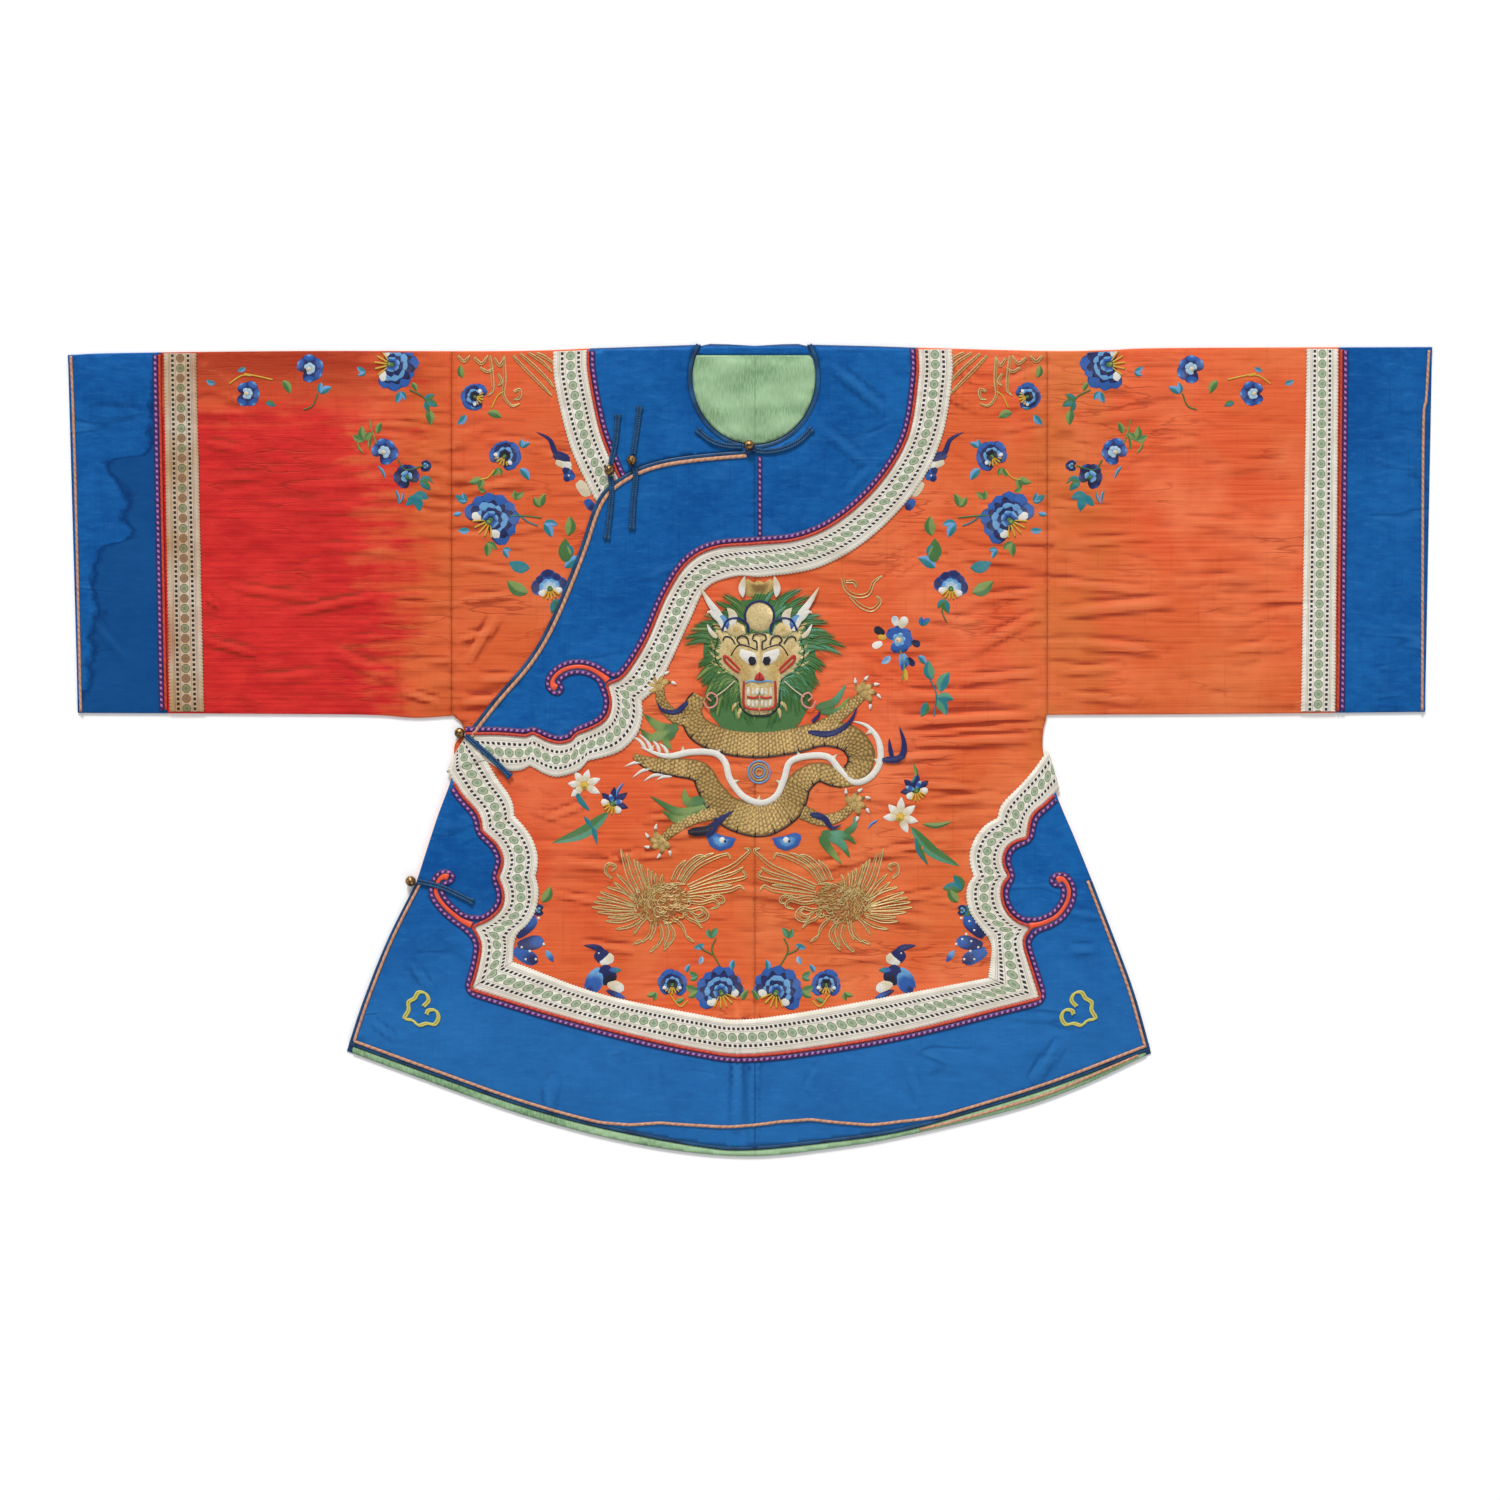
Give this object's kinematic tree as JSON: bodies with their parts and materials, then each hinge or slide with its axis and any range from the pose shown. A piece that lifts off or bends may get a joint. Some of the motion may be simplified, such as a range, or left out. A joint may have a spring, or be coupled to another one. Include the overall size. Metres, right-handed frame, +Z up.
{
  "type": "embroidered silk jacket",
  "caption": "Short wide-sleeved silk jacket laid flat, with a curved overlap closing at the side, cloud-shaped satin yoke and hem borders, woven ribbons, frog straps and ball buttons.",
  "frame": {"origin": "centre of the bounding box in plan, on the flat surface that the back lies on", "axes": "+X from the wearer's right cuff to the left cuff, +Y from the hem to the neck, +Z up out of the front; the front faces up"},
  "size_m": [1.3636, 0.812, 0.017],
  "materials": {
    "orange_silk": "orange-red plain silk, softly lustrous",
    "crimson_silk": "crimson plain silk fading to orange-red",
    "blue_satin": "blue satin, glossy",
    "dark_binding": "dark blue satin binding and frog straps",
    "woven_ribbon": "off-white woven ribbon with a small repeat",
    "green_lining": "pale green silk lining",
    "gilt_brass": "gilt brass ball buttons, lightly worn"
  },
  "bodies": {
    "root": {"body_left": "orange_silk", "body_right": "orange_silk", "front_overlap": "orange_silk", "sleeve_left": "orange_silk", "sleeve_right": "crimson_silk", "band_back_neck": "blue_satin", "border_left": "blue_satin", "border_overlap": "blue_satin", "cuff_left": "blue_satin", "cuff_right": "blue_satin", "yoke_left": "blue_satin", "yoke_overlap": "blue_satin", "yoke_right": "blue_satin", "binding_hem_left": "dark_binding", "binding_hem_overlap": "dark_binding", "binding_neck": "dark_binding", "binding_overlap": "dark_binding", "strap_chest_lower": "dark_binding", "strap_chest_upper": "dark_binding", "strap_collar_lower": "dark_binding", "strap_collar_upper": "dark_binding", "strap_neck_left": "dark_binding", "strap_neck_right": "dark_binding", "strap_side": "dark_binding", "strap_underarm": "dark_binding", "ribbon_hem": "woven_ribbon", "ribbon_shoulder": "woven_ribbon", "ribbon_sleeve_left": "woven_ribbon", "ribbon_sleeve_right": "woven_ribbon", "ribbon_yoke": "woven_ribbon", "lining_hem": "green_lining", "lining_neck": "green_lining", "button_chest": "gilt_brass", "button_collar": "gilt_brass", "button_neck": "gilt_brass", "button_side": "gilt_brass", "button_underarm": "gilt_brass"}
  },
  "joints": []
}
